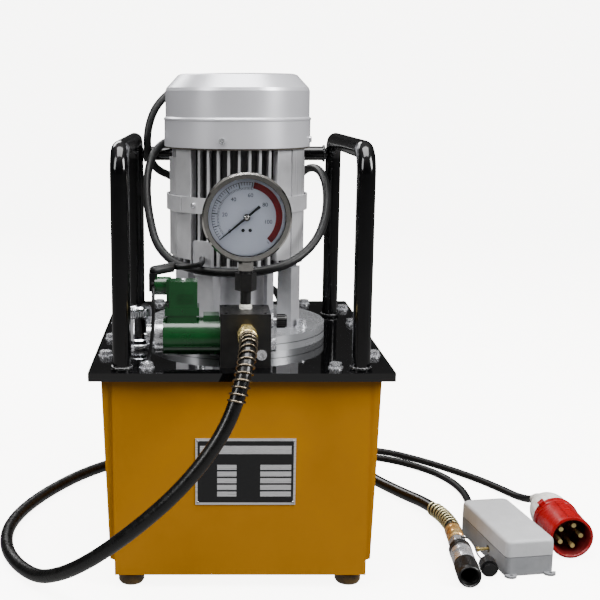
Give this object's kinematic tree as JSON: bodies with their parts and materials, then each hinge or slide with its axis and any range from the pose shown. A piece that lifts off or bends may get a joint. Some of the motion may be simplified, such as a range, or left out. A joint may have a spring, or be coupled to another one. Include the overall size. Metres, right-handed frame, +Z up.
{
  "type": "hydraulic power unit",
  "caption": "Electric hydraulic power unit: oil tank, vertical motor, solenoid valve block with gauge, carrying frame, hose with quick coupler, power lead and control box.",
  "frame": {"origin": "on the floor under the centre of the top plate", "axes": "+Z up, -Y towards the side with the gauge, valve block and data plate, +X to the right seen from the gauge side"},
  "size_m": [0.7803, 0.6219, 0.6195],
  "materials": {
    "yellow_paint": "semi-gloss ochre yellow paint",
    "black_paint": "high-gloss black paint",
    "silver_paint": "satin silver paint over cast aluminium",
    "cast_aluminium": "raw die-cast, fine grain",
    "extruded_aluminium": "drawn fins",
    "zinc_steel": "bright zinc plating",
    "bright_steel": "ground",
    "black_steel": "black oxide",
    "green_paint": "gloss green enamel",
    "chrome": "polished",
    "brass": "yellow passivated",
    "rubber": "smooth black hose cover",
    "cable_rubber": "matte",
    "black_plastic": "moulded",
    "white_plastic": "moulded",
    "red_plastic": "moulded",
    "grey_plastic": "fine texture",
    "dial_white": "printed dial",
    "glass": "clear",
    "copper": "varnished windings and laminations",
    "gasket": "cork rubber",
    "cast_iron": "machined"
  },
  "bodies": {
    "power_unit": {"tank_shell": "yellow_paint", "tank_feet": "gasket", "drain_plug": "zinc_steel", "tank_gasket": "gasket", "top_plate": "black_paint", "plate_bolts": "zinc_steel", "handle_left": "black_paint", "handle_right": "black_paint", "handle_crossbar": "black_paint", "data_plate": "bright_steel", "mounting_flange": "cast_aluminium", "flange_screws": "zinc_steel", "lower_shield": "cast_aluminium", "motor_housing": "extruded_aluminium", "motor_band": "extruded_aluminium", "fan_cowl": "silver_paint", "cowl_screws": "zinc_steel", "stator": "copper", "motor_bearings": "bright_steel", "terminal_box": "cast_aluminium", "pump_body": "cast_iron", "suction_strainer": "bright_steel", "filler_neck": "bright_steel", "valve_block": "black_steel", "solenoid_coil": "green_paint", "core_tube": "bright_steel", "coil_end_nut": "zinc_steel", "connector": "green_paint", "relief_valve": "zinc_steel", "gauge_adapter": "black_steel", "gauge_case": "bright_steel", "gauge_bezel": "chrome", "gauge_dial": "dial_white", "gauge_lens": "glass", "hose_fitting": "brass", "hose": "rubber", "hose_guards": "zinc_steel", "coupler_body": "brass", "dust_cap": "black_plastic", "power_cable": "cable_rubber", "plug_handle": "white_plastic", "plug_shroud": "red_plastic", "plug_pins": "brass", "control_cable": "cable_rubber", "control_box": "grey_plastic", "box_lid": "grey_plastic", "solenoid_lead": "cable_rubber", "earth_lead": "cable_rubber"},
    "drive": {"rotor": "bright_steel", "motor_shaft": "bright_steel", "cooling_fan": "black_plastic", "shaft_coupling": "bright_steel", "pump_shaft": "bright_steel"},
    "pointer": {"gauge_pointer": "black_plastic"},
    "breather": {"breather_cap": "chrome"},
    "plunger": {"plunger": "bright_steel"},
    "spool": {"valve_spool": "bright_steel"},
    "relief_adjuster": {"relief_knob": "black_plastic"},
    "locking_sleeve": {"coupler_sleeve": "black_steel"},
    "toggle": {"box_toggle": "brass"}
  },
  "joints": [
    {"name": "drive_spin", "type": "hinge", "parent": "power_unit", "child": "drive", "pos_m": [0, -0.005, 0.4], "axis": [0, 0, -1], "continuous": true},
    {"name": "pointer_turn", "type": "hinge", "parent": "power_unit", "child": "pointer", "pos_m": [0.006, -0.178, 0.451], "axis": [0, 1, 0], "range_deg": [0, 270]},
    {"name": "breather_turn", "type": "hinge", "parent": "power_unit", "child": "breather", "pos_m": [-0.128, -0.09, 0.3], "axis": [0, 0, 1], "range_deg": [0, 180]},
    {"name": "plunger_slide", "type": "slide", "parent": "power_unit", "child": "plunger", "axis": [1, 0, 0], "range_m": [0, 0.003], "stiffness_N_per_m": 3000},
    {"name": "spool_slide", "type": "slide", "parent": "power_unit", "child": "spool", "axis": [1, 0, 0], "range_m": [0, 0.003]},
    {"name": "relief_turn", "type": "hinge", "parent": "power_unit", "child": "relief_adjuster", "pos_m": [0.048, -0.17, 0.325], "axis": [1, 0, 0], "range_deg": [-360, 360]},
    {"name": "sleeve_slide", "type": "slide", "parent": "power_unit", "child": "locking_sleeve", "axis": [0.0872, 0.9962, 0], "range_m": [0, 0.006], "stiffness_N_per_m": 2000},
    {"name": "toggle_tilt", "type": "hinge", "parent": "power_unit", "child": "toggle", "pos_m": [0.32817, -0.12732, 0.014], "axis": [-0.1564, 0.9877, 0], "range_deg": [-12, 12]}
  ],
  "couplings": [
    {"joint": "spool_slide", "follows": "plunger_slide", "ratio": 1}
  ]
}
